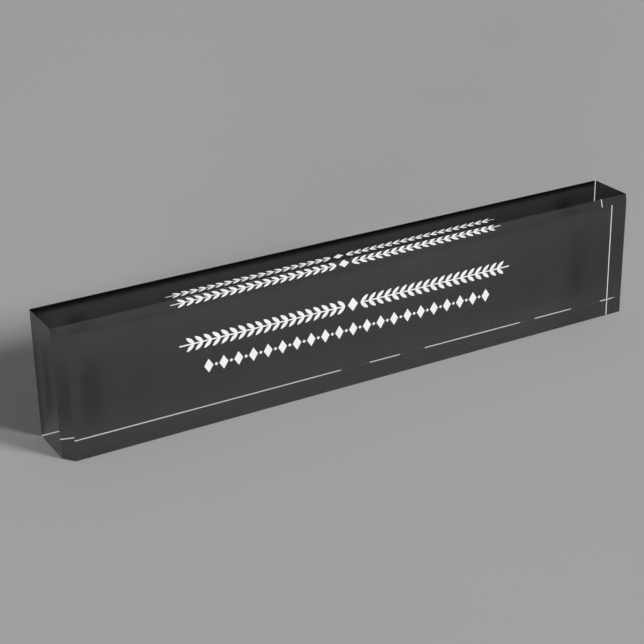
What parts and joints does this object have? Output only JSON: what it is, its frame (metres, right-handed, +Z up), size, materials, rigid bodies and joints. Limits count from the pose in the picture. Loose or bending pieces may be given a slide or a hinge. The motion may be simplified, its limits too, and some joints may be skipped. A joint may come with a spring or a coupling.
{
  "type": "desk name plate",
  "caption": "Clear bevelled block that stands on a desk and shows rows of white marks on a black ground through its thick body.",
  "frame": {"origin": "under the middle of the plate, on the surface that it stands on", "axes": "+X along the plate, to the right of a reader; -Y is the way the face looks; +Z up"},
  "size_m": [0.254, 0.0254, 0.0508],
  "materials": {
    "clear_acrylic": "clear and polished, with fine ground breaks on the back edges",
    "black_film": "smooth opaque black, bonded to the back of the block",
    "white_ink": "matt white",
    "backing": "matt black with a fine grain"
  },
  "bodies": {
    "root": {"clear_block": "clear_acrylic", "black_film": "black_film", "upper_marks": "white_ink", "lower_marks": "white_ink", "backing_sheet": "backing"}
  },
  "joints": []
}
